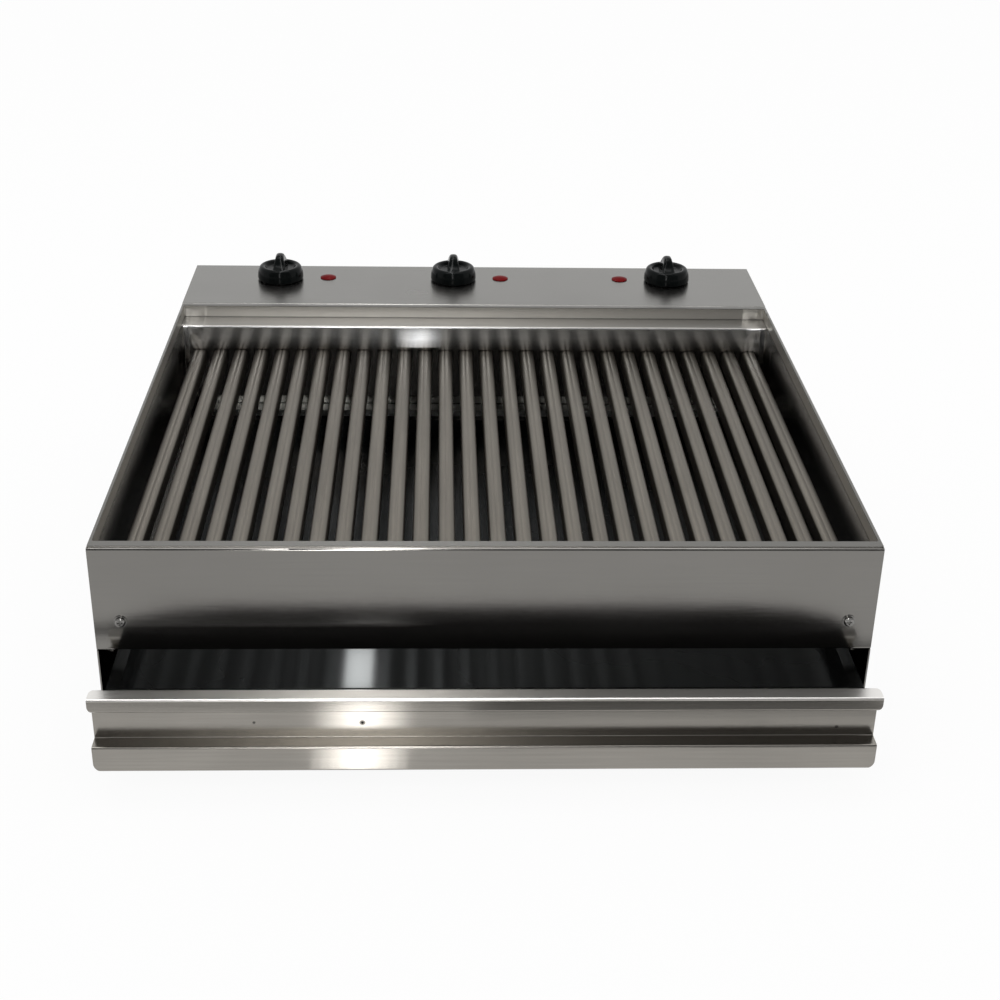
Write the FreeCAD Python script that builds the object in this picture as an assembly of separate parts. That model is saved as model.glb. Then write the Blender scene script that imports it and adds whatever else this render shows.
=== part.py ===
import FreeCAD, Part

import math
import os

from FreeCAD import Vector

# Countertop electric grill in folded stainless sheet, in millimetres.
# X runs to the right seen from the front, Y to the back and Z up.
# The origin is on the floor, below the middle of the whole grill with its
# drawer a little open, as it stands at rest.

# Case
case_width = 800.0
case_depth = 845.0
case_height = 225.0
sheet = 1.5
inner_bend = 1.0
seam_gap = 0.5
side_return = 40.0
rear_return = 18.0
bottom_flange = 15.0
front_height = 120.5
front_hem = 11.0

# Feet
foot_height = 20.0
foot_radius = 20.0
foot_taper = 3.0
foot_inset_x = 60.0
foot_inset_y = 70.0

# Rims around the well and the control deck behind it
side_rim = 3.5
front_rim = 13.6
front_step = 3.5
rear_rim = 8.0
deck_depth = 158.5
deck_front_flange = 12.0
deck_rear_flange = 18.0

# Well that holds the bars
well_height = 118.0
ledge_drop = 16.0
ledge_depth = 33.0
well_corner = 2.5
ledge_bend = 2.5

# Grill bars, folded as upside-down channels, in three heated sections
left_bar_count = 10
center_bar_count = 8
right_bar_count = 10
bar_width = 18.0
bar_height = 20.0
bar_wall = 1.2
bar_corner = 4.0
bar_drop = 50.0
bar_side_gap = 13.7
bar_tail = 8.0
bar_end_gap = 0.5
bar_slot_gap = 0.5
rail_depth = 24.0
rail_drop = 20.0
rail_tooth = 10.0

# Straight heating rods, one inside each bar
rod_radius = 4.0
rod_gap = 0.3
rod_fit = 0.1
rod_setback = 25.0
rod_tail = 8.0
pin_radius = 1.0
pin_length = 14.0
pin_offset = 2.0

# Heat shield and the upstand of the base in front of it
shield_gap = 68.0
shield_overlap = 20.0
shield_flange = 15.0
upstand_drop = 160.0
upstand_flange = 22.0

# Controls
knob_radius = 32.0
knob_skirt_height = 19.0
knob_edge = 6.0
knob_lift = 1.0
knob_dish_radius = 22.0
knob_dish_depth = 5.0
knob_underside_radius = 26.0
knob_underside_depth = 8.0
grip_top_width = 16.0
grip_base_width = 22.0
grip_top_length = 16.0
grip_base_length = 52.0
grip_edge = 2.0
grip_height = 36.0
knob_to_deck_back = 55.0
outer_knob_inset = 125.0
center_knob_x = -30.0
lamp_spacing = 67.0
lamp_set_back = 4.0
shaft_radius = 3.0
shaft_flat = 1.0
shaft_fit = 0.05
shaft_top = 24.0
shaft_depth = 16.0
bush_radius = 5.0
bush_height = 7.0
regulator_size = 48.0
regulator_height = 40.0
deck_hole_gap = 0.3
lens_radius = 11.0
lens_rim = 1.0
lens_dome = 2.2
lamp_body_radius = 9.5
lamp_body_length = 28.0

# Mains inlet
gland_reach = 18.0
gland_radius = 13.0
gland_bore = 5.5
gland_collar = 8.0
gland_thread_radius = 10.0
gland_tail = 12.0
gland_nut = 5.0
gland_inset = 100.0
gland_height = 45.0
terminal_width = 70.0
terminal_depth = 24.0
terminal_height = 22.0
terminal_poles = 5
pole_radius = 3.0
pole_depth = 6.0
pole_pitch = 13.0

# Vents in the rear panel
vent_length = 46.0
vent_height = 4.0
vent_pitch_x = 70.0
vent_pitch_z = 14.0
vent_columns = 8
vent_rows = 4
vent_drop = 40.0

# Screws
screw_radius = 3.0
screw_hole_gap = 0.25
screw_length = 12.0
washer_radius = 6.8
washer_height = 1.0
head_radius = 5.4
head_height = 3.0
recess_width = 1.2
recess_length = 5.6
recess_depth = 1.2
front_screw_inset = 27.0
front_screw_drop = 86.0
rear_screw_inset = 10.5
rear_screw_margin = 30.0
deck_screw_spacing = 250.0

# Drawer
drawer_out = 48.0
drawer_drop = 136.0
drawer_side_gap = 16.0
drawer_flange = 11.5
tray_depth = 25.0
tray_corner = 10.0
tray_rear_gap = 7.0
nose_reach = 20.0
nose_height = 15.6
handle_downturn = 7.0
handle_corner = 8.0
nose_corner = 7.0
toe_reach = 19.5
toe_drop = 58.0
toe_hem = 10.0
toe_corner = 10.0
drawer_floor_gap = 1.3
front_hole_radius = 1.5
front_hole_x = -127.5
front_hole_drop = 40.5
runner_gap = 0.3
runner_height = 22.0
runner_clearance = 2.0
runner_setback = 60.0
runner_rear_gap = 5.0

# Places that follow from the sizes above
half_width = case_width / 2
front_reach = drawer_out + max(nose_reach, toe_reach)
case_front = (front_reach - gland_reach - case_depth) / 2
case_back = case_front + case_depth
case_bottom = foot_height
rim_top = case_bottom + case_height
under_rim = rim_top - sheet
inside_x = half_width - sheet

well_x = half_width - side_rim
well_front = case_front + front_rim
deck_front = case_back - deck_depth
fascia_y = deck_front - seam_gap - rear_rim
well_back = fascia_y - ledge_depth
well_bottom = rim_top - well_height
ledge_z = rim_top - ledge_drop

section_bars = {"left": left_bar_count, "center": center_bar_count, "right": right_bar_count}
bar_count = sum(section_bars.values())
bar_top = rim_top - bar_drop
bar_bottom = bar_top - bar_height
first_bar_x = -(well_x - bar_side_gap - bar_width / 2)
bar_pitch = -2 * first_bar_x / (bar_count - 1)
bar_xs = [first_bar_x + bar_pitch * index for index in range(bar_count)]
bar_front = well_front + bar_end_gap
bar_back = well_back + sheet + bar_tail
rod_z = bar_top - bar_wall - rod_gap - rod_radius

upstand_y = well_back + shield_gap
shield_y = upstand_y + sheet
upstand_top = rim_top - upstand_drop

knob_y = case_back - knob_to_deck_back
outer_knob_x = half_width - outer_knob_inset
lamp_y = knob_y + lamp_set_back
knob_xs = {"left": -outer_knob_x, "center": center_knob_x, "right": outer_knob_x}
lamp_xs = {
    "left": knob_xs["left"] + lamp_spacing,
    "center": knob_xs["center"] + lamp_spacing,
    "right": knob_xs["right"] - lamp_spacing,
}

rear_panel_y = case_back - 2 * sheet
gland_x = half_width - gland_inset
gland_z = case_bottom + gland_height

drawer_plane = case_front - drawer_out
drawer_flange_z = rim_top - drawer_drop
tray_x = half_width - drawer_side_gap - drawer_flange - sheet
tray_floor = drawer_flange_z - tray_depth
tray_back = well_back + tray_rear_gap - drawer_out
handle_top = drawer_flange_z
nose_bottom = handle_top - nose_height
toe_top = drawer_flange_z - toe_drop
toe_bottom = case_bottom + drawer_floor_gap
runner_top = drawer_flange_z - sheet - runner_gap


def box(low, high):
    """A block between two opposite corners."""
    size = [high[axis] - low[axis] for axis in range(3)]
    return Part.makeBox(size[0], size[1], size[2], Vector(*low))


def rod(radius, start, end):
    """A round bar from one point to another."""
    run = Vector(*end) - Vector(*start)
    return Part.makeCylinder(radius, run.Length, Vector(*start), run)


def rounded_slab(low, high, radius):
    """A block with its four upright edges rounded."""
    block = box(low, high)
    upright = [edge for edge in block.Edges if is_upright(edge)]
    return block.makeFillet(radius, upright)


def is_upright(edge):
    """True for a straight edge that runs along Z."""
    start = edge.Vertexes[0].Point
    end = edge.Vertexes[-1].Point
    run = end - start
    return abs(run.z) > 0.5 * run.Length


def folded_sheet(path, thickness, radius, place, run):
    """A bent sheet: its outline lies to the right of a path of flat points.

    The path gives one face of the sheet, with sharp corners. Each corner
    becomes a bend with the given inner radius. place turns a flat point into
    a point in space, and run is how far and where the section is swept.
    """
    near = []
    far = []
    points = [Vector(u, v, 0) for u, v in path]
    offset = right_of(points[0], points[1]) * thickness
    near_start = points[0]
    far_start = points[0] + offset
    for before, corner, after in zip(points, points[1:], points[2:]):
        ahead = (corner - before).normalize()
        onward = (after - corner).normalize()
        turn = ahead.cross(onward).z
        angle = math.atan2(turn, ahead.dot(onward))
        near_radius = radius
        far_radius = radius + thickness
        inward = Vector(-ahead.y, ahead.x, 0)
        if turn < 0:
            near_radius, far_radius = far_radius, near_radius
            inward = -inward
        setback = near_radius * math.tan(abs(angle) / 2)
        bend_start = corner - ahead * setback
        bend_end = corner + onward * setback
        center = bend_start + inward * near_radius
        middle = (corner - center).normalize()
        outward = [(bend_start - center).normalize(), middle, (bend_end - center).normalize()]
        near_arc = [center + way * near_radius for way in outward]
        far_arc = [center + way * far_radius for way in outward]
        near.append(Part.LineSegment(near_start, near_arc[0]))
        near.append(Part.Arc(*near_arc))
        far.append(Part.LineSegment(far_start, far_arc[0]))
        far.append(Part.Arc(*far_arc))
        near_start = near_arc[2]
        far_start = far_arc[2]
    last_offset = right_of(points[-2], points[-1]) * thickness
    near.append(Part.LineSegment(near_start, points[-1]))
    far.append(Part.LineSegment(far_start, points[-1] + last_offset))
    caps = [
        Part.LineSegment(points[0], points[0] + offset),
        Part.LineSegment(points[-1], points[-1] + last_offset),
    ]
    edges = [curve.toShape() for curve in near + far + caps]
    wire = Part.Wire(Part.__sortEdges__(edges))
    face = Part.Face(wire)
    face = face.transformGeometry(place)
    return face.extrude(run)


def right_of(start, end):
    """The unit vector to the right of a flat run."""
    ahead = (end - start).normalize()
    return Vector(ahead.y, -ahead.x, 0)


def across_x(x):
    """Stands a flat section up so that its points are Y and Z, at one X."""
    return FreeCAD.Matrix(0, 0, 0, x, 1, 0, 0, 0, 0, 1, 0, 0, 0, 0, 0, 1)


def across_y(y):
    """Stands a flat section up so that its points are X and Z, at one Y."""
    return FreeCAD.Matrix(1, 0, 0, 0, 0, 0, 0, y, 0, 1, 0, 0, 0, 0, 0, 1)


def sheet_along_x(path, low_x, high_x, radius=inner_bend):
    """A folded sheet whose bends run from side to side."""
    return folded_sheet(path, sheet, radius, across_x(low_x), Vector(high_x - low_x, 0, 0))


def sheet_along_y(path, low_y, high_y, thickness=sheet, radius=inner_bend):
    """A folded sheet whose bends run from front to back."""
    return folded_sheet(path, thickness, radius, across_y(low_y), Vector(0, high_y - low_y, 0))


def mirrored(shape):
    """The same piece for the other side of the case."""
    return shape.mirror(Vector(0, 0, 0), Vector(1, 0, 0))


def save(name, shape):
    """Writes one sub-part, cleaned of seams between joined faces."""
    shape.removeSplitter().exportStep("parts/" + name + ".step")


def front_screw_places():
    """The two screws that hold the front panel."""
    z = rim_top - front_screw_drop
    return [(side * (half_width - front_screw_inset), z) for side in (-1, 1)]


def rear_screw_places():
    """The screws through the rear panel into the side panels and the deck."""
    x = half_width - rear_screw_inset
    low = case_bottom + rear_screw_margin
    high = rim_top - deck_rear_flange - rear_screw_margin
    sides = [(side * x, z) for side in (-1, 1) for z in (low, high)]
    deck_z = rim_top - deck_rear_flange / 2
    deck = [(deck_screw_spacing * step, deck_z) for step in (-1, 0, 1)]
    return sides, deck


def screw_holes(places, y, depth):
    """Clearance holes for screws along Y."""
    radius = screw_radius + screw_hole_gap
    holes = [rod(radius, (x, y - depth, z), (x, y + depth, z)) for x, z in places]
    return Part.makeCompound(holes)


def make_side_panel():
    """Left side: a sheet with returns where the front and rear panels screw on."""
    top = under_rim
    path = [
        (-half_width + bottom_flange, case_bottom),
        (-half_width, case_bottom),
        (-half_width, top),
    ]
    web_front = case_front + sheet
    panel = sheet_along_y(path, web_front, rear_panel_y)
    front_bottom = rim_top - front_height
    inset = inner_bend + sheet
    lower_edge = box(
        (-half_width, case_front, case_bottom + inset),
        (-inside_x, web_front, front_bottom - seam_gap),
    )
    front_flange = box(
        (-inside_x, web_front, front_bottom + inset),
        (-half_width + side_return, web_front + sheet, top - sheet - inset),
    )
    rear_flange = box(
        (-inside_x, rear_panel_y - sheet, case_bottom + inset + sheet),
        (-half_width + rear_return, rear_panel_y, top - sheet - inset),
    )
    panel = panel.fuse([lower_edge, front_flange, rear_flange])
    panel = panel.cut(screw_holes(front_screw_places(), web_front, 2 * sheet))
    return panel.cut(screw_holes(rear_screw_places()[0], rear_panel_y, 2 * sheet))


def make_front_panel():
    """Front panel, hemmed below and turned in under the rim above."""
    bottom = rim_top - front_height
    back = case_front + front_hem
    path = [(back, bottom), (case_front, bottom), (case_front, under_rim), (back, under_rim)]
    panel = sheet_along_x(path, -half_width, half_width)
    for side in (-1, 1):
        xs = sorted((side * (well_x + sheet), side * (half_width + sheet)))
        low = (xs[0], case_front + sheet, bottom - sheet)
        panel = panel.cut(box(low, (xs[1], back + sheet, rim_top)))
    return panel.cut(screw_holes(front_screw_places(), case_front, 2 * sheet))


def make_rear_panel():
    """Rear panel with vents for the controls and a hole for the cable gland."""
    low = (-half_width, rear_panel_y, case_bottom)
    panel = box(low, (half_width, rear_panel_y + sheet, under_rim - inner_bend))
    vents = []
    for column in range(vent_columns):
        for row in range(vent_rows):
            x = (column - (vent_columns - 1) / 2) * vent_pitch_x
            z = rim_top - vent_drop - row * vent_pitch_z
            low = (x - vent_length / 2, rear_panel_y - sheet, z - vent_height / 2)
            high = (x + vent_length / 2, rear_panel_y + 2 * sheet, z + vent_height / 2)
            vents.append(box(low, high))
    side_places, deck_places = rear_screw_places()
    panel = panel.cut(Part.makeCompound(vents))
    panel = panel.cut(screw_holes(side_places + deck_places, rear_panel_y, 2 * sheet))
    hole_radius = gland_thread_radius + deck_hole_gap
    hole = rod(
        hole_radius,
        (gland_x, rear_panel_y - sheet, gland_z),
        (gland_x, rear_panel_y + 2 * sheet, gland_z),
    )
    return panel.cut(hole)


def make_base_plate():
    """Floor of the case, with the upstand that parts the drawer from the controls."""
    low_z = case_bottom + sheet
    edge = inside_x - inner_bend - seam_gap
    floor = box((-edge, case_front + seam_gap, low_z), (edge, rear_panel_y - sheet - seam_gap, low_z + sheet))
    path = [
        (upstand_y + sheet, low_z + sheet),
        (upstand_y + sheet, upstand_top),
        (upstand_y - upstand_flange, upstand_top),
    ]
    path.reverse()
    upstand = sheet_along_x(path, -edge, edge)
    return floor.fuse(upstand)


def make_feet():
    """Four rubber feet."""
    x = half_width - foot_inset_x
    ys = (case_front + foot_inset_y, case_back - foot_inset_y)
    height = foot_height + sheet
    feet = []
    for side in (-1, 1):
        for y in ys:
            foot = Part.makeCone(foot_radius - foot_taper, foot_radius, height, Vector(side * x, y, 0))
            feet.append(foot)
    return Part.makeCompound(feet)


def make_well_pan():
    """The well: one welded pan with a rim all round and a ledge at the back."""
    rim = box(
        (-half_width + seam_gap, case_front + front_step, under_rim),
        (half_width - seam_gap, deck_front - seam_gap, rim_top),
    )
    outer_x = well_x + sheet
    outer_front = well_front - sheet
    outer_corner = well_corner + sheet
    upper = rounded_slab(
        (-outer_x, outer_front, ledge_z - sheet),
        (outer_x, fascia_y + sheet, under_rim),
        outer_corner,
    )
    lower = rounded_slab(
        (-outer_x, outer_front, well_bottom),
        (outer_x, well_back + sheet, ledge_z - sheet),
        outer_corner,
    )
    upper_space = rounded_slab(
        (-well_x, well_front, ledge_z),
        (well_x, fascia_y, rim_top + sheet),
        well_corner,
    )
    lower_space = rounded_slab(
        (-well_x, well_front, well_bottom - sheet),
        (well_x, well_back, rim_top),
        well_corner,
    )
    pan = rim.fuse([upper, lower]).cut(upper_space).cut(lower_space)
    pan = pan.cut(ledge_edge_cut())
    return pan.cut(Part.makeCompound([bar_slot(x) for x in bar_xs]))


def ledge_edge_cut():
    """What rounds the edge where the ledge turns down into the rear wall."""
    center_y = well_back + ledge_bend
    center_z = ledge_z - ledge_bend
    block = box((-well_x, well_back, center_z), (well_x, center_y, ledge_z))
    round_part = rod(ledge_bend, (-well_x, center_y, center_z), (well_x, center_y, center_z))
    return block.cut(round_part)


def bar_slot(x):
    """The opening in the rear wall of the well that one bar passes through."""
    half = bar_width / 2 + bar_slot_gap
    low = (x - half, well_back - sheet, bar_bottom)
    high = (x + half, well_back + 2 * sheet, bar_top + bar_slot_gap)
    block = box(low, high)
    top_edges = []
    for edge in block.Edges:
        bounds = edge.BoundBox
        along_y = bounds.YLength > sheet and bounds.XLength < 0.1
        if along_y and bounds.ZMin > bar_top:
            top_edges.append(edge)
    return block.makeFillet(bar_corner, top_edges)


def make_bar(x):
    """One grill bar, a channel open below with rounded shoulders."""
    half = bar_width / 2
    path = [
        (x - half, bar_bottom),
        (x - half, bar_top),
        (x + half, bar_top),
        (x + half, bar_bottom),
    ]
    return sheet_along_y(path, bar_front, bar_back, bar_wall, bar_corner - bar_wall)


def make_front_bar_rail():
    """Angle on the front wall of the well; its teeth keep the bars apart."""
    tooth_y = well_front + rail_depth
    path = [
        (well_front, bar_bottom - rail_drop),
        (well_front, bar_bottom),
        (tooth_y, bar_bottom),
        (tooth_y, bar_bottom + rail_tooth),
    ]
    end_x = well_x - well_corner - seam_gap
    rail = sheet_along_x(path, -end_x, end_x)
    notches = []
    half = bar_width / 2 + bar_slot_gap
    for x in bar_xs:
        low = (x - half, tooth_y - inner_bend - sheet, bar_bottom)
        high = (x + half, tooth_y + 2 * sheet, bar_bottom + 2 * rail_tooth)
        notches.append(box(low, high))
    return rail.cut(Part.makeCompound(notches))


def section_xs(section):
    """The places of the bars in one section."""
    names = list(section_bars)
    first = sum(section_bars[name] for name in names[: names.index(section)])
    return bar_xs[first : first + section_bars[section]]


def make_heating_rod(x):
    """One sheathed heating rod with its two connection pins at the back."""
    sheath_end = shield_y + sheet + rod_tail
    parts = [rod(rod_radius, (x, bar_front + rod_setback, rod_z), (x, sheath_end, rod_z))]
    for side in (-1, 1):
        pin_x = x + side * pin_offset
        pin = rod(pin_radius, (pin_x, sheath_end, rod_z), (pin_x, sheath_end + pin_length, rod_z))
        parts.append(pin)
    return parts[0].fuse(parts[1:])


def make_heat_shield():
    """Shield between the hot well and the controls; it carries the heating rods."""
    path = [
        (shield_y, upstand_top - shield_overlap),
        (shield_y, under_rim),
        (shield_y + shield_flange, under_rim),
    ]
    edge = inside_x - side_rim
    shield = sheet_along_x(path, -edge, edge)
    holes = []
    for x in bar_xs:
        start = (x, shield_y - sheet, rod_z)
        end = (x, shield_y + 2 * sheet, rod_z)
        holes.append(rod(rod_radius + rod_fit, start, end))
    return shield.cut(Part.makeCompound(holes))


def make_control_deck():
    """Top cover over the controls, with holes for the knobs and pilot lamps."""
    path = [
        (deck_front, rim_top - deck_front_flange),
        (deck_front, rim_top),
        (case_back, rim_top),
        (case_back, rim_top - deck_rear_flange),
    ]
    deck = sheet_along_x(path, -half_width, half_width)
    for side in (-1, 1):
        xs = sorted((side * well_x, side * (half_width + sheet)))
        low = (xs[0], deck_front - sheet, rim_top - 2 * deck_front_flange)
        deck = deck.cut(box(low, (xs[1], deck_front + 2 * sheet, under_rim)))
    holes = []
    for name, x in knob_xs.items():
        holes.append(upright(bush_radius + deck_hole_gap, x, knob_y, rim_top - 2 * sheet, rim_top + sheet))
        lamp_x = lamp_xs[name]
        radius = lamp_body_radius + deck_hole_gap
        holes.append(upright(radius, lamp_x, lamp_y, rim_top - 2 * sheet, rim_top + sheet))
    deck = deck.cut(Part.makeCompound(holes))
    return deck.cut(screw_holes(rear_screw_places()[1], case_back, 2 * sheet))


def upright(radius, x, y, low_z, high_z):
    """A round bar that stands up."""
    return rod(radius, (x, y, low_z), (x, y, high_z))


def make_regulator(x):
    """Energy regulator under the deck, with the bush that guides its shaft."""
    half = regulator_size / 2
    low = (x - half, knob_y - half, under_rim - regulator_height)
    body = box(low, (x + half, knob_y + half, under_rim))
    bush = upright(bush_radius, x, knob_y, under_rim, rim_top + bush_height)
    bore = upright(
        shaft_radius + shaft_fit,
        x,
        knob_y,
        under_rim - shaft_depth - shaft_fit,
        rim_top + bush_height + sheet,
    )
    return body.fuse(bush).cut(bore)


def shaft_shape(x, gap, low_z, high_z):
    """Round shaft with a flat above the bush, larger all round by a gap."""
    shaft = upright(shaft_radius + gap, x, knob_y, low_z, high_z)
    flat_y = knob_y - shaft_radius + shaft_flat - gap
    flat_start = rim_top + bush_height + sheet - gap
    reach = 2 * shaft_radius
    cut = box((x - reach, flat_y - reach, flat_start), (x + reach, flat_y, high_z + reach))
    return shaft.cut(cut)


def make_shaft(x):
    """Regulator shaft that the knob turns."""
    return shaft_shape(x, 0.0, under_rim - shaft_depth, rim_top + shaft_top)


def make_knob(x):
    """Moulded knob: a round skirt, a dished top and a bar grip across it."""
    base = rim_top + knob_lift
    skirt_top = base + knob_skirt_height
    skirt = upright(knob_radius, x, knob_y, base, skirt_top)
    rim_edge = [edge for edge in skirt.Edges if abs(edge.BoundBox.ZMin - skirt_top) < 0.01]
    skirt = skirt.makeFillet(knob_edge, rim_edge)
    dish_top = knob_dish_radius
    dish_bottom = knob_dish_radius - knob_dish_depth
    dish_z = skirt_top - knob_dish_depth
    dish = Part.makeCone(dish_bottom, dish_top, knob_dish_depth, Vector(x, knob_y, dish_z))
    knob = skirt.cut(dish).fuse(make_grip(x, dish_z))
    hollow = upright(knob_underside_radius, x, knob_y, base, base + knob_underside_depth)
    socket = shaft_shape(x, shaft_fit, base, rim_top + shaft_top + shaft_fit)
    return knob.cut([hollow, socket])


def make_grip(x, base_z):
    """The bar of the knob, wider and longer at its foot than at its top."""
    top_z = rim_top + grip_height
    levels = [(grip_base_width, grip_base_length, base_z), (grip_top_width, grip_top_length, top_z)]
    outlines = []
    for width, length, z in levels:
        corners = [(-1, -1), (1, -1), (1, 1), (-1, 1), (-1, -1)]
        points = [Vector(x + a * width / 2, knob_y + b * length / 2, z) for a, b in corners]
        outlines.append(Part.makePolygon(points))
    grip = Part.makeLoft(outlines, True, True)
    top_edges = [edge for edge in grip.Edges if edge.BoundBox.ZMin > top_z - 0.01]
    sloping_edges = [edge for edge in grip.Edges if edge.BoundBox.ZLength > grip_edge]
    return grip.makeFillet(grip_edge, top_edges + sloping_edges)


def make_pilot_lamp(x):
    """Pilot lamp: a low domed lens over a round body that passes the deck."""
    rim = upright(lens_radius, x, lamp_y, rim_top, rim_top + lens_rim)
    chord = lens_radius
    sphere_radius = (chord**2 + lens_dome**2) / (2 * lens_dome)
    center_z = rim_top + lens_rim + lens_dome - sphere_radius
    ball = Part.makeSphere(sphere_radius, Vector(x, lamp_y, center_z))
    column = upright(lens_radius, x, lamp_y, rim_top + lens_rim, rim_top + lens_rim + lens_dome)
    body = upright(lamp_body_radius, x, lamp_y, rim_top - lamp_body_length, rim_top)
    return rim.fuse([ball.common(column), body])


def make_terminal_block():
    """Mains terminal block on the floor behind the heat shield."""
    back = rear_panel_y - sheet - terminal_depth
    low = (gland_x - terminal_width / 2, back - terminal_depth, case_bottom + 2 * sheet)
    high = (gland_x + terminal_width / 2, back, case_bottom + 2 * sheet + terminal_height)
    block = box(low, high)
    holes = []
    for pole in range(terminal_poles):
        x = gland_x + (pole - (terminal_poles - 1) / 2) * pole_pitch
        y = (low[1] + high[1]) / 2
        holes.append(upright(pole_radius, x, y, high[2] - pole_depth, high[2] + pole_depth))
    return block.cut(Part.makeCompound(holes))


def make_cable_gland():
    """Cable gland in the rear panel, open for the mains cable."""
    face = rear_panel_y + sheet
    end = face + sheet + gland_reach
    tail = rear_panel_y - gland_tail
    collar = hexagon(gland_radius, face, gland_collar)
    dome = Part.makeCone(
        gland_radius * 0.85,
        gland_bore + 2.5,
        end - face - gland_collar,
        Vector(gland_x, face + gland_collar, gland_z),
        Vector(0, 1, 0),
    )
    thread = rod(gland_thread_radius, (gland_x, tail, gland_z), (gland_x, face, gland_z))
    nut = hexagon(gland_radius, rear_panel_y - gland_nut, gland_nut)
    bore = rod(gland_bore, (gland_x, tail - sheet, gland_z), (gland_x, end + sheet, gland_z))
    return collar.fuse([dome, thread, nut]).cut(bore)


def hexagon(radius, y, thickness):
    """A hexagon nut blank around the gland's axis."""
    corners = []
    for step in range(7):
        angle = math.radians(60 * step)
        corners.append(Vector(gland_x + radius * math.cos(angle), y, gland_z + radius * math.sin(angle)))
    return Part.Face(Part.makePolygon(corners)).extrude(Vector(0, thickness, 0))


def make_screw(x, y, z, direction):
    """Pan-head screw with washer; direction is the way its head faces along Y."""
    washer = rod(washer_radius, (x, y, z), (x, y + direction * washer_height, z))
    head_y = y + direction * washer_height
    head = rod(head_radius, (x, head_y, z), (x, head_y + direction * head_height, z))
    crown = head_y + direction * head_height
    crown_edge = [edge for edge in head.Edges if is_at_y(edge, crown)]
    head = head.makeFillet(head_height * 0.6, crown_edge)
    shank = rod(screw_radius, (x, y, z), (x, y - direction * screw_length, z))
    screw = washer.fuse([head, shank])
    near = crown - direction * recess_depth
    low_y = min(near, crown + direction)
    high_y = max(near, crown + direction)
    wide = recess_length / 2
    thin = recess_width / 2
    slot_a = box((x - wide, low_y, z - thin), (x + wide, high_y, z + thin))
    slot_b = box((x - thin, low_y, z - wide), (x + thin, high_y, z + wide))
    return screw.cut([slot_a, slot_b])


def is_at_y(edge, y):
    """True for an edge that lies at one Y."""
    return abs(edge.BoundBox.YMin - y) < 0.01 and abs(edge.BoundBox.YMax - y) < 0.01


def make_case_screws():
    """All the screws of the case: two in front, seven behind."""
    screws = [make_screw(x, case_front, z, -1) for x, z in front_screw_places()]
    side_places, deck_places = rear_screw_places()
    screws += [make_screw(x, rear_panel_y + sheet, z, 1) for x, z in side_places]
    screws += [make_screw(x, case_back, z, 1) for x, z in deck_places]
    return Part.makeCompound(screws)


def make_drawer_tray():
    """Water and fat tray with a flange that slides on the runners."""
    top = drawer_flange_z
    flange = box(
        (-tray_x - sheet - drawer_flange, drawer_plane, top - sheet),
        (tray_x + sheet + drawer_flange, tray_back + sheet + drawer_flange, top),
    )
    outer = rounded_slab(
        (-tray_x - sheet, drawer_plane, tray_floor - sheet),
        (tray_x + sheet, tray_back + sheet, top),
        tray_corner + sheet,
    )
    inner = rounded_slab(
        (-tray_x, drawer_plane + sheet, tray_floor),
        (tray_x, tray_back, top + sheet),
        tray_corner,
    )
    return outer.fuse(flange).cut(inner)


def make_drawer_front():
    """Drawer front: one folded sheet with a nose to pull on and a stepped toe."""
    plate = drawer_plane - sheet
    nose = drawer_plane - nose_reach
    toe = drawer_plane - toe_reach
    path = [
        (toe + toe_hem, toe_bottom),
        (toe, toe_bottom),
        (toe, toe_top),
        (plate, toe_top),
        (plate, nose_bottom),
        (nose, nose_bottom),
        (nose, handle_top),
        (drawer_plane, handle_top),
        (drawer_plane, handle_top - handle_downturn),
    ]
    front = sheet_along_x(path, -half_width, half_width)
    for side in (-1, 1):
        front = front.cut(handle_corner_cut(side))
        front = front.cut(nose_corner_cut(side))
        front = front.cut(toe_corner_cut(side))
    hole_z = drawer_flange_z - front_hole_drop
    hole = rod(
        front_hole_radius,
        (front_hole_x, plate - sheet, hole_z),
        (front_hole_x, drawer_plane + sheet, hole_z),
    )
    return front.cut(hole)


def handle_corner_cut(side):
    """What rounds off a rear corner of the handle's top, seen from above."""
    low_z = handle_top - handle_downturn - sheet
    high_z = handle_top + sheet
    inner_x = half_width - handle_corner
    xs = sorted((side * inner_x, side * (half_width + sheet)))
    block = box(
        (xs[0], drawer_plane - handle_corner, low_z),
        (xs[1], drawer_plane + sheet, high_z),
    )
    return block.cut(upright(handle_corner, side * inner_x, drawer_plane - handle_corner, low_z, high_z))


def nose_corner_cut(side):
    """What rounds off a lower corner of the nose, seen from the front."""
    front_y = drawer_plane - nose_reach - sheet
    back_y = drawer_plane - sheet - inner_bend
    inner_x = half_width - nose_corner
    xs = sorted((side * inner_x, side * (half_width + sheet)))
    corner_z = nose_bottom + nose_corner
    block = box((xs[0], front_y, nose_bottom - sheet), (xs[1], back_y, corner_z))
    round_part = rod(nose_corner, (side * inner_x, front_y, corner_z), (side * inner_x, back_y, corner_z))
    return block.cut(round_part)


def toe_corner_cut(side):
    """What rounds off a lower corner of the drawer front, seen from the front."""
    front_y = drawer_plane - toe_reach - sheet
    back_y = drawer_plane
    inner_x = half_width - toe_corner
    xs = sorted((side * inner_x, side * (half_width + sheet)))
    corner_z = toe_bottom + toe_corner
    block = box((xs[0], front_y, toe_bottom - sheet), (xs[1], back_y, corner_z))
    round_part = rod(toe_corner, (side * inner_x, front_y, corner_z), (side * inner_x, back_y, corner_z))
    return block.cut(round_part)


def make_runner():
    """Left runner: an angle on the side panel that carries the tray's flange."""
    inner_x = tray_x + sheet + runner_clearance
    path = [(-inside_x, runner_top - runner_height), (-inside_x, runner_top), (-inner_x, runner_top)]
    return sheet_along_y(path, case_front + runner_setback, upstand_y - upstand_flange - runner_rear_gap)


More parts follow.
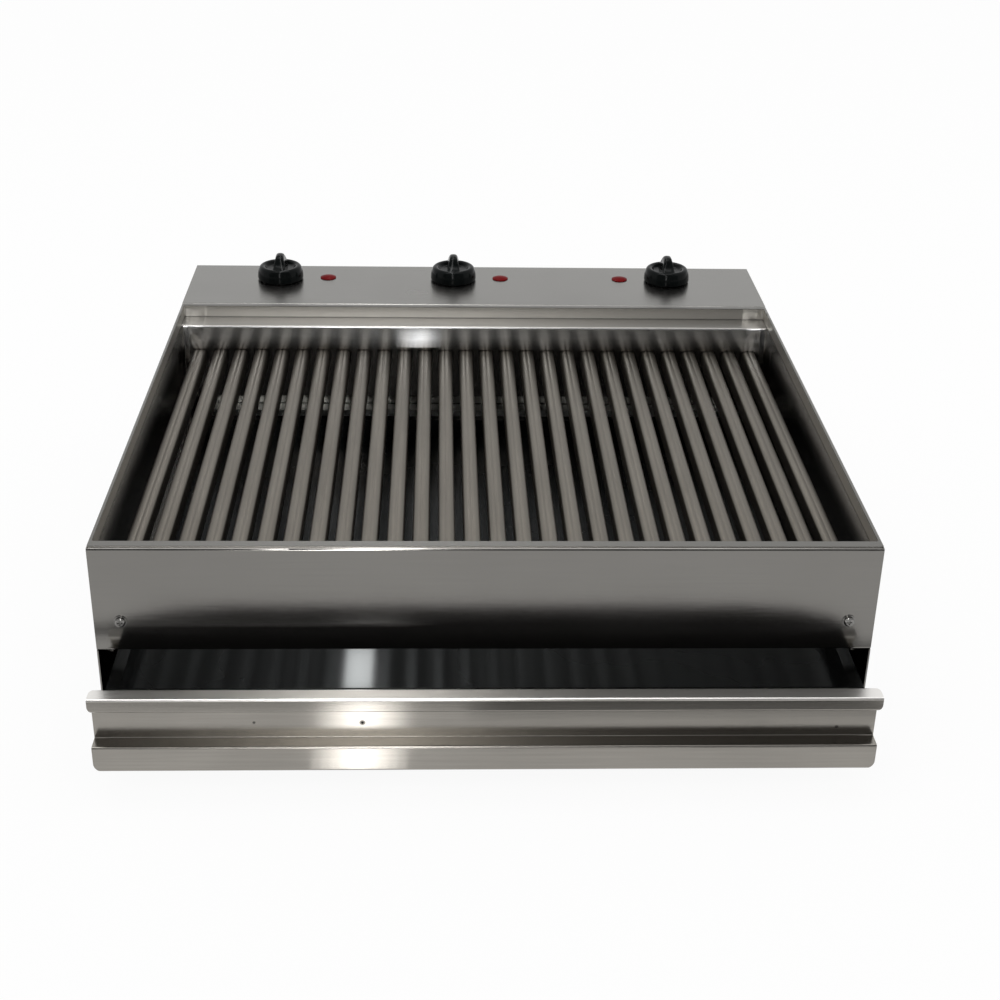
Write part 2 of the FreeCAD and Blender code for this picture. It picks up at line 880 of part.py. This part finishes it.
def build():
    """Makes every sub-part and writes each to its own file."""
    os.makedirs("parts", exist_ok=True)
    side_panel = make_side_panel()
    save("side_panel_left", side_panel)
    save("side_panel_right", mirrored(side_panel))
    save("front_panel", make_front_panel())
    save("rear_panel", make_rear_panel())
    save("base_plate", make_base_plate())
    save("feet", make_feet())
    save("well_pan", make_well_pan())
    save("front_bar_rail", make_front_bar_rail())
    for index, x in enumerate(bar_xs):
        save("grill_bar_%02d" % (index + 1), make_bar(x))
    for section in section_bars:
        rods = [make_heating_rod(x) for x in section_xs(section)]
        save("heating_rods_" + section, Part.makeCompound(rods))
    save("heat_shield", make_heat_shield())
    save("control_deck", make_control_deck())
    for name, x in knob_xs.items():
        save("regulator_" + name, make_regulator(x))
        save("shaft_" + name, make_shaft(x))
        save("knob_" + name, make_knob(x))
        save("pilot_lamp_" + name, make_pilot_lamp(lamp_xs[name]))
    save("terminal_block", make_terminal_block())
    save("cable_gland", make_cable_gland())
    save("case_screws", make_case_screws())
    save("drawer_tray", make_drawer_tray())
    save("drawer_front", make_drawer_front())
    runner = make_runner()
    save("drawer_runner_left", runner)
    save("drawer_runner_right", mirrored(runner))


build()
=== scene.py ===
import math

import bmesh
import bpy
from mathutils import Matrix, Vector


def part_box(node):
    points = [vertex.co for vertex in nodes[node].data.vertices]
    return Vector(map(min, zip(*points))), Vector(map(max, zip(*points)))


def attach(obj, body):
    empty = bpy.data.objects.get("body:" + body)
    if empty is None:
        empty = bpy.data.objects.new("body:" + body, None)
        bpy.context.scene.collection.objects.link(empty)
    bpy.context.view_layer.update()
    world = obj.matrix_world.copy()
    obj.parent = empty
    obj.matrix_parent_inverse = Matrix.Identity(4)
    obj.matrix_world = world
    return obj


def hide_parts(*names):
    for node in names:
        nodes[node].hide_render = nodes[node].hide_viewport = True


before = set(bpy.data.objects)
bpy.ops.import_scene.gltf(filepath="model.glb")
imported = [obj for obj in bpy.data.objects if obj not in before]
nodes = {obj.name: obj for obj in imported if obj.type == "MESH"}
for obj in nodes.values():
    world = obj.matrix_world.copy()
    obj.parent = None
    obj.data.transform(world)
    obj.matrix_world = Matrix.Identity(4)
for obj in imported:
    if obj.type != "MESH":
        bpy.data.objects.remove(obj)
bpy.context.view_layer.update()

MM = 0.001
SIDES = ("left", "center", "right")
BAR_COUNT = 28
BARS = ["grill_bar_%02d" % (i + 1) for i in range(BAR_COUNT)]

# Heights in metres between which a material changes, from the first to the second
DRAWER_EDGE = (0.1065, 0.1085)
LEDGE_BELOW = (0.2275, 0.2285)
LEDGE_ABOVE = (0.2295, 0.2305)
RIM_TOP = (0.2440, 0.2446)
TINT_AND_SHADE_LINE = (0.213, 0.195)

# Where the dents in the well's rear corners start and are full, as abs(x) and y in metres
CORNER_X = (0.368, 0.388)
CORNER_Y = (0.205, 0.235)

# Stretch of the noise: none, or into a grain along X or Y
EVEN = (1, 1, 1)
GRAIN = {"X": (0.02, 1, 1), "Y": (1, 0.02, 1)}


class Mat:
    """A node material with a few short helpers."""

    def __init__(self, name):
        self.material = bpy.data.materials.new(name)
        self.material.use_nodes = True
        self.tree = self.material.node_tree
        self.shader = self.tree.nodes["Principled BSDF"]
        self.coords = self.tree.nodes.new("ShaderNodeTexCoord").outputs["Object"]

    def new(self, kind, **props):
        node = self.tree.nodes.new(kind)
        for key, value in props.items():
            setattr(node, key, value)
        return node

    def link(self, source, socket):
        self.tree.links.new(source, socket)

    def fill(self, socket, value):
        """Sets a socket to a number or a colour, or links it to another socket."""
        if isinstance(value, (int, float)):
            socket.default_value = value
        elif isinstance(value, tuple):
            socket.default_value = (*value, 1.0)
        else:
            self.link(value, socket)

    def constant(self, name, value):
        """Sets one of the shader's own sockets."""
        self.shader.inputs[name].default_value = value

    def drive(self, name, source):
        """Links one of the shader's own sockets."""
        self.link(source, self.shader.inputs[name])

    def driver_of(self, name):
        """What one of the shader's own sockets is linked to."""
        return self.shader.inputs[name].links[0].from_socket

    def noise(self, scale, stretch=EVEN, detail=2.0, rough=0.5, distort=0.0):
        mapping = self.new("ShaderNodeMapping")
        mapping.inputs["Scale"].default_value = stretch
        self.link(self.coords, mapping.inputs["Vector"])
        node = self.new("ShaderNodeTexNoise")
        node.inputs["Scale"].default_value = scale
        node.inputs["Detail"].default_value = detail
        node.inputs["Roughness"].default_value = rough
        node.inputs["Distortion"].default_value = distort
        self.link(mapping.outputs["Vector"], node.inputs["Vector"])
        return node.outputs["Fac"]

    def remap(self, value, start, end, low=0.0, high=1.0):
        node = self.new("ShaderNodeMapRange")
        node.inputs["From Min"].default_value = start
        node.inputs["From Max"].default_value = end
        node.inputs["To Min"].default_value = low
        node.inputs["To Max"].default_value = high
        self.link(value, node.inputs["Value"])
        return node.outputs["Result"]

    def mix(self, factor, a, b):
        node = self.new("ShaderNodeMix", data_type="RGBA")
        factor_socket, a_socket, b_socket = (node.inputs[i] for i in (0, 6, 7))
        self.fill(factor_socket, factor)
        self.fill(a_socket, a)
        self.fill(b_socket, b)
        return node.outputs[2]

    def math(self, operation, a, b=0.0):
        node = self.new("ShaderNodeMath", operation=operation)
        self.fill(node.inputs[0], a)
        self.fill(node.inputs[1], b)
        return node.outputs[0]

    def axis(self, name):
        node = self.new("ShaderNodeSeparateXYZ")
        self.link(self.coords, node.inputs[0])
        return node.outputs[name]

    def bump(self, height, strength, distance, base=None):
        node = self.new("ShaderNodeBump")
        node.inputs["Strength"].default_value = strength
        node.inputs["Distance"].default_value = distance
        self.link(height, node.inputs["Height"])
        if base is not None:
            self.link(base, node.inputs["Normal"])
        return node.outputs["Normal"]

    def blend_shader(self, factor, other):
        """Shows another shader on the surface, as far as the factor says."""
        mix = self.new("ShaderNodeMixShader")
        self.link(factor, mix.inputs[0])
        self.link(self.shader.outputs[0], mix.inputs[1])
        self.link(other.outputs[0], mix.inputs[2])
        self.link(mix.outputs[0], self.tree.nodes["Material Output"].inputs["Surface"])


def scaled(color, k):
    return tuple(c * k for c in color)


def steel(name, color, rough, grain, groove, streak=0.04, cloud=0.05):
    """Brushed sheet: fine grooves along one axis, soft clouds and uneven gloss."""
    s = Mat(name)
    fine = s.noise(1700.0, GRAIN[grain], 1.0)
    lines = s.noise(420.0, GRAIN[grain], 3.0, 0.6)
    clouds = s.noise(5.0, EVEN, 3.0, 0.55, 0.3)
    base = s.mix(s.remap(lines, 0.3, 0.7), scaled(color, 1 - streak), scaled(color, 1 + streak))
    base = s.mix(s.remap(clouds, 0.35, 0.65, 0.0, cloud), base, (0.0, 0.0, 0.0))
    s.drive("Base Color", base)
    s.constant("Metallic", 1.0)
    s.drive("Roughness", s.remap(clouds, 0.3, 0.7, rough * 0.9, rough * 1.1))
    s.drive("Normal", s.bump(fine, 1.0, groove))
    return s


def spot(s, x, z, radius):
    """1 near a point on a front face, fading to 0 at a radius."""
    dx = s.math("ADD", s.axis("X"), -x)
    dz = s.math("ADD", s.axis("Z"), -z)
    squares = s.math("ADD", s.math("MULTIPLY", dx, dx), s.math("MULTIPLY", dz, dz))
    return s.remap(s.math("SQRT", squares), radius, radius * 0.7)


def drawer_steel():
    """Drawer sheet: a painted highlight, in a paler colour, along its top edge, which is also
    duller, and small dark spots of painted shade below.
    """
    painted_top_highlight = (0.78, 0.765, 0.74)
    hole_shade = (0.03, 0.028, 0.025)
    marks = ((-0.1275, 0.0685, 0.0036), (-0.2375, 0.0690, 0.0018), (0.3605, 0.0615, 0.0022))
    s = steel("drawer_steel", (0.30, 0.284, 0.258), 0.21, "X", 0.00003, streak=0.05, cloud=0.12)
    blur = s.noise(30.0, (0.2, 1, 1), 3.0)
    height = s.math("ADD", s.axis("Z"), s.remap(blur, 0.3, 0.7, -0.0005, 0.0005))
    s.drive("Roughness", s.remap(height, *DRAWER_EDGE, 0.22, 0.29))
    # The pale colour above the top edge is a painted highlight on the drawer's top.
    color = s.mix(s.remap(height, *DRAWER_EDGE), s.driver_of("Base Color"), painted_top_highlight)
    # Small dark spots painted as the shade in two small holes and a dent.
    for x, z, radius in marks:
        color = s.mix(s.math("MULTIPLY", spot(s, x, z, radius), 0.75), color, hole_shade)
    s.drive("Base Color", color)
    return s


def well_steel():
    """Well sheet: dark brown lower down, part heat tint and part painted shade, with a darker ledge
    and rim and dented corners.
    """
    ledge = (0.27, 0.262, 0.247)
    fascia = (0.66, 0.64, 0.60)
    rim = (0.15, 0.147, 0.138)
    heat_tint_and_shade = (0.075, 0.06, 0.045)
    s = steel("well_steel", (0.66, 0.665, 0.67), 0.19, "X", 0.00001, cloud=0.10)
    z = s.axis("Z")
    wave = s.noise(9.0, (1, 1, 0.4), 3.0, 0.6, 0.4)
    height = s.math("ADD", z, s.remap(wave, 0.2, 0.8, -0.008, 0.008))
    # Below the bars' tops the sheet darkens to brown: heat tint, and painted shade between and
    # under the bars.
    tint_and_shade_mask = s.remap(height, *TINT_AND_SHADE_LINE, 0.0, 0.85)
    color = s.mix(s.remap(z, *LEDGE_BELOW), s.driver_of("Base Color"), ledge)
    color = s.mix(s.remap(z, *LEDGE_ABOVE), color, fascia)
    color = s.mix(s.remap(z, *RIM_TOP), color, rim)
    s.drive("Base Color", s.mix(tint_and_shade_mask, color, heat_tint_and_shade))
    s.drive("Roughness", s.remap(z, *LEDGE_BELOW, 0.22, 0.34))
    near_side = s.remap(s.math("ABSOLUTE", s.axis("X")), *CORNER_X)
    corner = s.math("MULTIPLY", near_side, s.remap(s.axis("Y"), *CORNER_Y))
    dents = s.math("MULTIPLY", s.noise(38.0, EVEN, 1.0), corner)
    s.drive("Normal", s.bump(dents, 1.0, 0.005, s.driver_of("Normal")))
    return s


def bar_steel():
    """Bars dulled brown-grey by heat, with faint lines and patches along them."""
    s = Mat("bar_steel")
    patches = s.noise(9.0, (5, 0.5, 1), 4.0, 0.6, 0.3)
    lines = s.noise(380.0, (1, 0.01, 1), 3.0, 0.7)
    fine = s.noise(1500.0, GRAIN["Y"], 2.0)
    base = s.mix(s.remap(patches, 0.35, 0.68), (0.116, 0.105, 0.088), (0.150, 0.137, 0.117))
    base = s.mix(s.remap(lines, 0.42, 0.70, 0.0, 0.5), base, (0.100, 0.091, 0.078))
    s.drive("Base Color", base)
    s.constant("Metallic", 1.0)
    s.drive("Roughness", s.remap(patches, 0.3, 0.7, 0.36, 0.42))
    s.drive("Normal", s.bump(fine, 0.05, 0.0001, s.bump(lines, 0.02, 0.0002)))
    return s


def plain(name, color, rough, metal=0.0, scale=400.0, strength=0.15, spec=0.5):
    """Moulded or plain surface with a fine texture, soft patches and uneven gloss."""
    s = Mat(name)
    fine = s.noise(scale, EVEN, 3.0)
    patches = s.noise(25.0, EVEN, 4.0)
    base = s.mix(s.remap(patches, 0.3, 0.7), scaled(color, 0.8), scaled(color, 1.2))
    s.drive("Base Color", base)
    s.drive("Roughness", s.remap(fine, 0.3, 0.7, rough * 0.8, rough * 1.2))
    s.drive("Normal", s.bump(fine, strength, 0.0002))
    s.constant("Metallic", metal)
    s.constant("Specular IOR Level", spec)
    return s


case_color = (0.22, 0.213, 0.20)
case_x = steel("case_steel_x", case_color, 0.22, "X", 0.00005)
case_y = steel("case_steel_y", case_color, 0.22, "Y", 0.00005)
front = steel("front_steel", (0.205, 0.198, 0.186), 0.11, "X", 0.00001, streak=0.02)
deck = steel("deck_steel", (0.205, 0.201, 0.190), 0.25, "X", 0.00006, streak=0.02)
drawer = drawer_steel()
# The tray's near-black colour is painted shade: it sits in the shade under the bars and the well.
tray = steel("tray_steel", (0.027, 0.029, 0.029), 0.27, "X", 0.00003, streak=0.03)
base_plate = steel("base_steel", (0.95, 0.96, 0.94), 0.28, "X", 0.00005)
inner = steel("inner_steel", (0.20, 0.195, 0.18), 0.25, "X", 0.00005)
well = well_steel()
bars = bar_steel()
knob_black = plain("knob_black", (0.004, 0.005, 0.005), 0.13,
                   scale=120.0, strength=0.02, spec=0.07)
lens_red = plain("lens_red", (0.14, 0.004, 0.005), 0.3, scale=900.0, strength=0.1, spec=0.02)
sheath = plain("heater_sheath", (0.05, 0.045, 0.04), 0.5, 0.7, 600.0, 0.3)
screws = plain("screw_steel", (0.24, 0.235, 0.225), 0.12, 1.0, 900.0, 0.1)
shafts = plain("shaft_steel", (0.55, 0.55, 0.55), 0.3, 1.0, 900.0, 0.1)
regulators = plain("regulator_body", (0.62, 0.60, 0.54), 0.5)
terminals = plain("terminal_body", (0.75, 0.74, 0.70), 0.45)
gland = plain("gland_plastic", (0.02, 0.02, 0.02), 0.45)
rubber = plain("foot_rubber", (0.025, 0.025, 0.025), 0.75, scale=700.0, strength=0.4)


def dress(mat, *names):
    """Gives CAD nodes a material in every slot."""
    for name in names:
        obj = nodes[name]
        if not obj.material_slots:
            obj.data.materials.append(mat.material)
        for slot in obj.material_slots:
            slot.material = mat.material


def each_side(name):
    return [name + "_" + side for side in SIDES]


dress(case_y, "side_panel_left", "side_panel_right")
dress(case_x, "rear_panel")
dress(front, "front_panel")
dress(deck, "control_deck")
dress(well, "well_pan", "front_bar_rail")
dress(base_plate, "base_plate")
dress(inner, "heat_shield", "drawer_runner_left", "drawer_runner_right")
dress(drawer, "drawer_front")
dress(tray, "drawer_tray")
dress(bars, *BARS)
dress(sheath, *each_side("heating_rods"))
dress(regulators, *each_side("regulator"))
dress(shafts, *each_side("shaft"))
dress(knob_black, *each_side("knob"))
dress(lens_red, *each_side("pilot_lamp"))
dress(terminals, "terminal_block")
dress(gland, "cable_gland")
dress(screws, "case_screws")
dress(rubber, "feet")


def add_object(name, data):
    ob = bpy.data.objects.new(name, data)
    bpy.context.scene.collection.objects.link(ob)
    return ob


def mesh_object(name, bm, mat, smooth=True):
    mesh = bpy.data.meshes.new(name)
    bm.normal_update()
    bm.to_mesh(mesh)
    bm.free()
    ob = add_object(name, mesh)
    mesh.materials.append(mat.material)
    for poly in mesh.polygons:
        poly.use_smooth = smooth
    return ob


def sharp_by_angle(ob, degrees):
    """Keeps edges above an angle sharp in a smooth mesh."""
    bm = bmesh.new()
    bm.from_mesh(ob.data)
    for edge in bm.edges:
        if len(edge.link_faces) == 2 and edge.calc_face_angle(0) > math.radians(degrees):
            edge.smooth = False
    bm.to_mesh(ob.data)
    bm.free()


def smooth_curve(points, count):
    """Catmull-Rom points through a polyline."""
    pts = [points[0]] + list(points) + [points[-1]]
    out = []
    spans = len(points) - 1
    for i in range(count):
        t = i / (count - 1) * spans
        k = min(int(t), spans - 1)
        u = t - k
        p0, p1, p2, p3 = (Vector(pts[k + j]) for j in range(4))
        out.append(0.5 * ((2 * p1) + (p2 - p0) * u + (2 * p0 - 5 * p1 + 4 * p2 - p3) * u * u
                          + (3 * p1 - p0 - 3 * p2 + p3) * u ** 3))
    return out


def centre(low, high):
    return (low[0] + high[0]) / 2, (low[1] + high[1]) / 2


# Knob, in millimetres from its underside.
# The skirt's profile, as radius and height
SKIRT = [(25.5, 8), (26.5, 0.6), (30.2, 0), (31.9, 1.6), (31.9, 5), (31.5, 9), (30.6, 13),
         (29.3, 16.6), (27.0, 18.6), (24.4, 19.0), (22.0, 18.2), (20.0, 16.0), (17.5, 14.4),
         (12, 14.0), (0.01, 14.0)]
SKIRT_POINTS = 60
SKIRT_STEPS = 72
# The grip from its middle to an end, as place along Y, height of its top and half its width
GRIP = [(3, 34.9, 5.6), (7.0, 34.2, 5.7), (10.5, 31.8, 6.2), (13.5, 27.6, 7.2),
        (16.5, 23.4, 8.0), (21, 20.2, 8.8), (27.0, 17.4, 9.0)]
GRIP_POINTS = 53
GRIP_FOOT = 12.5
GRIP_FLARE = 0.13
# The grip's section, as share of its half width and of its height above its foot
GRIP_SECTION = [(-1, 0.0), (-1, 0.45), (-1, 0.72), (-0.95, 0.86), (-0.78, 0.95),
                (-0.42, 0.992), (0.0, 1.0), (0.42, 0.992),
                (0.78, 0.95), (0.95, 0.86), (1, 0.72), (1, 0.45), (1, 0.0)]


def turn_skirt(bm, cx, cy, base):
    profile = smooth_curve([(r, 0, z) for r, z in SKIRT], SKIRT_POINTS)
    rings = []
    for i in range(SKIRT_STEPS):
        a = 2 * math.pi * i / SKIRT_STEPS
        rings.append([bm.verts.new((cx + p.x * MM * math.cos(a), cy + p.x * MM * math.sin(a),
                                    base + p.z * MM)) for p in profile])
    for i in range(SKIRT_STEPS):
        a, b = rings[i], rings[(i + 1) % SKIRT_STEPS]
        for k in range(len(profile) - 1):
            bm.faces.new((a[k], b[k], b[k + 1], a[k + 1]))


def loft_grip(bm, cx, cy, base):
    other_half = [(-y, z, half) for y, z, half in GRIP[::-1]]
    ribs = []
    for y, z, half in smooth_curve(other_half + GRIP, GRIP_POINTS):
        wide = half + (z - GRIP_FOOT) * GRIP_FLARE
        rib = []
        for across, rise in GRIP_SECTION:
            x = (wide + (half - wide) * rise) * across
            height = GRIP_FOOT + (z - GRIP_FOOT) * rise
            rib.append(bm.verts.new((cx + x * MM, cy + y * MM, base + height * MM)))
        ribs.append(rib)
    for a, b in zip(ribs, ribs[1:]):
        for k in range(len(a) - 1):
            bm.faces.new((a[k], a[k + 1], b[k + 1], b[k]))
    bm.faces.new(ribs[0][::-1])
    bm.faces.new(ribs[-1])


def make_knob(side):
    """Glossy knob: a turned skirt with a dished top, and a grip that slopes to its rim."""
    low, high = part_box("knob_" + side)
    place = (*centre(low, high), low[2])
    bm = bmesh.new()
    turn_skirt(bm, *place)
    loft_grip(bm, *place)
    bmesh.ops.recalc_face_normals(bm, faces=bm.faces)
    ob = mesh_object("knob_" + side + "_moulding", bm, knob_black)
    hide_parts("knob_" + side)
    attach(ob, side + "_control")


# Half a bar's section, in millimetres from the top of its box: outside, crease and inside
BAR_OUTSIDE = [(9.0, -20), (9.0, -5.0), (8.8, -3.6), (8.1, -2.2), (7.0, -1.2), (5.4, -0.5),
               (3.6, -0.08), (1.9, -0.02), (0.8, -0.25)]
BAR_CREASE = (0, -0.45)
BAR_INSIDE = [(7.5, -20), (7.5, -6.2), (6.6, -4.0), (4.5, -2.5), (0, -1.8)]
BAR_SHARP_ANGLE = 30


def mirrored(points):
    return [(-x, z) for x, z in points]


def make_bar(name):
    """Bar with a crowned top, a faint crease along its middle and an open underside."""
    low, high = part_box(name)
    cx, top = centre(low, high)[0], high[2]
    outline = (mirrored(BAR_OUTSIDE) + [BAR_CREASE] + BAR_OUTSIDE[::-1]
               + BAR_INSIDE + mirrored(BAR_INSIDE[-2::-1]))
    bm = bmesh.new()
    a, b = ([bm.verts.new((cx + x * MM, y, top + z * MM)) for x, z in outline]
            for y in (low[1], high[1]))
    for i in range(len(outline)):
        k = (i + 1) % len(outline)
        bm.faces.new((a[i], a[k], b[k], b[i]))
    bm.faces.new(a)
    bm.faces.new(b)
    bmesh.ops.recalc_face_normals(bm, faces=bm.faces)
    bmesh.ops.triangulate(bm, faces=[f for f in bm.faces if len(f.verts) > 4])
    ob = mesh_object(name + "_sheet", bm, bars)
    sharp_by_angle(ob, BAR_SHARP_ANGLE)
    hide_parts(name)
    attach(ob, "case")


for side in SIDES:
    make_knob(side)
for name in BARS:
    make_bar(name)

# Camera fitted to the photo: place in metres, yaw, pitch and roll in degrees, focal length in
# pixels of a frame of 1000
CAMERA_PLACE = (-0.04992, -1.8303, 1.03866)
CAMERA_ANGLES = (2.401, 27.295, 1.197)
FOCAL_PIXELS = 1638.4
FRAME_PIXELS = 1000.0
SENSOR_WIDTH = 36.0


def set_camera():
    data = bpy.data.cameras.new("camera")
    data.sensor_width = SENSOR_WIDTH
    data.sensor_fit = "AUTO"
    data.lens = FOCAL_PIXELS / FRAME_PIXELS * SENSOR_WIDTH
    data.clip_end = 50.0
    camera = add_object("camera", data)
    yaw, pitch, roll = (math.radians(a) for a in CAMERA_ANGLES)
    ahead = Vector((math.sin(yaw) * math.cos(pitch), math.cos(yaw) * math.cos(pitch),
                    -math.sin(pitch)))
    level = Vector((math.cos(yaw), -math.sin(yaw), 0))
    above = level.cross(ahead)
    right = math.cos(roll) * level + math.sin(roll) * above
    up = -math.sin(roll) * level + math.cos(roll) * above
    matrix = Matrix((right, up, -ahead)).transposed().to_4x4()
    matrix.translation = Vector(CAMERA_PLACE)
    camera.matrix_world = matrix
    bpy.context.scene.camera = camera


def area(name, place, target, size, power, glossy_only=True):
    """Rectangular lamp, in watts; one that is glossy only shows in the metal and lights nothing."""
    data = bpy.data.lights.new(name, "AREA")
    data.shape = "RECTANGLE"
    data.size, data.size_y = size
    data.energy = power
    lamp = add_object(name, data)
    lamp.location = place
    aim = Vector(target) - Vector(place)
    lamp.rotation_euler = aim.to_track_quat("-Z", "Y").to_euler()
    lamp.visible_camera = False
    lamp.visible_diffuse = not glossy_only


STRIP_STEPS = 5
STRIP_LIFT = 0.0002


def soft_strip(name, place, size, radiance):
    """Lamps in a stack that face up: the bright patch they make in the metal fades sideways."""
    x, y, z = place
    width, length = size
    for i in range(STRIP_STEPS):
        wide = width * (i + 1) / STRIP_STEPS
        area("%s_%d" % (name, i), (x, y, z + STRIP_LIFT * i), (x, y, 1), (wide, length),
             radiance * math.pi * wide * length)


def seen_rays(tree):
    """1 for camera, glossy and transmission rays, 0 for the light that falls on the object."""
    path = tree.nodes.new("ShaderNodeLightPath")
    seen = path.outputs["Is Camera Ray"]
    for ray in ("Is Glossy Ray", "Is Transmission Ray"):
        either = tree.nodes.new("ShaderNodeMath")
        either.operation = "MAXIMUM"
        tree.links.new(seen, either.inputs[0])
        tree.links.new(path.outputs[ray], either.inputs[1])
        seen = either.outputs[0]
    return seen


WORLD_LIGHT = 0.78
WORLD_SEEN = 1.0
FLOOR_GLOW = 0.93


def make_world():
    """White for what the camera and the metal see, a little less for the light on the object."""
    world = bpy.data.worlds.new("studio")
    bpy.context.scene.world = world
    world.use_nodes = True
    tree = world.node_tree
    tree.nodes.clear()
    out = tree.nodes.new("ShaderNodeOutputWorld")
    mix = tree.nodes.new("ShaderNodeMixShader")
    tree.links.new(seen_rays(tree), mix.inputs[0])
    for socket, grey in ((1, WORLD_LIGHT), (2, WORLD_SEEN)):
        background = tree.nodes.new("ShaderNodeBackground")
        background.inputs[0].default_value = (grey, grey, grey, 1)
        tree.links.new(background.outputs[0], mix.inputs[socket])
    tree.links.new(mix.outputs[0], out.inputs[0])


def matte(name, base_low, base_high, *noise):
    """Dull stage material between two greys."""
    s = Mat(name)
    s.drive("Base Color", s.mix(s.noise(*noise), (base_low,) * 3, (base_high,) * 3))
    s.constant("Roughness", 0.9)
    s.constant("Specular IOR Level", 0.0)
    return s


def make_floor():
    """Pale floor: white where it is seen, with a soft shadow under the object."""
    bm = bmesh.new()
    bmesh.ops.create_grid(bm, x_segments=1, y_segments=1, size=12.0)
    s = matte("floor", 0.93, 0.96, 3.0, EVEN, 3.0)
    glow = s.new("ShaderNodeEmission")
    s.blend_shader(s.math("MULTIPLY", seen_rays(s.tree), FLOOR_GLOW), glow)
    mesh_object("floor", bm, s, False)


def make_card(name, points, level, one_sided=False):
    """Studio card, which only shows in the metal; a one-sided card shows from above only."""
    bm = bmesh.new()
    bm.faces.new([bm.verts.new(v) for v in points])
    s = matte(name, level * 0.8, level * 1.2, 60.0)
    if one_sided:
        backfacing = s.new("ShaderNodeNewGeometry").outputs["Backfacing"]
        s.blend_shader(backfacing, s.new("ShaderNodeBsdfTransparent"))
    ob = mesh_object(name, bm, s, False)
    ob.visible_camera = False
    ob.visible_diffuse = False
    ob.visible_shadow = False


def flat(z, points):
    """Outline in X and Y at one height."""
    return [(x, y, z) for x, y in points]


set_camera()
make_world()
area("window", (-0.30, -3.5, 2.0), (-0.30, 0, 2.0), (0.15, 3.0), 28)
area("tubes", (-0.20, 0.2, 2.6), (-0.20, 0.2, 0), (0.16, 5.0), 30)
area("overhead", (-0.2, 0.3, 2.8), (-0.1, 0, 0.2), (2.4, 0.8), 16, glossy_only=False)
soft_strip("strip", (-0.133, -0.560, 0.003), (0.100, 0.140), 0.85)
soft_strip("wall_strip", (-0.078, 0.215, 0.198), (0.060, 0.064), 0.28)
area("tray_strip", (-0.137, -0.315, 0.120), (-0.137, -0.315, 0), (0.030, 0.090), 0.10)

# Heights of the cards on the floor and of the one over the drawer's top edge
FLOOR_CARD = 0.002
HANDLE_CARD = 0.1105

make_floor()
make_card("card_panel", flat(FLOOR_CARD, [
    (-0.445, -0.648), (-0.42, -0.664), (-0.37, -0.681), (-0.31, -0.690), (0.33, -0.690),
    (0.39, -0.681), (0.43, -0.664), (0.45, -0.640), (0.45, -0.608), (0.02, -0.608),
    (-0.09, -0.648)]), 0.01)
make_card("card_nose", flat(FLOOR_CARD, [
    (-0.47, -0.648), (-0.09, -0.648), (-0.02, -0.622), (-0.47, -0.622)]), 0.22)
make_card("card_recess", flat(FLOOR_CARD, [
    (-0.02, -0.608), (0.5, -0.608), (0.5, -0.555), (-0.02, -0.560)]), 0.45)
make_card("card_handle", flat(HANDLE_CARD, [
    (-0.385, -0.466), (0.385, -0.466), (0.385, -0.400), (-0.385, -0.400)]), 0.02, one_sided=True)
make_card("card_room", [(-7, -4.2, 0.35), (7, -4.2, 0.35), (7, -4.2, 9), (-7, -4.2, 9)], 0.25)

bpy.context.scene.view_settings.view_transform = "Standard"
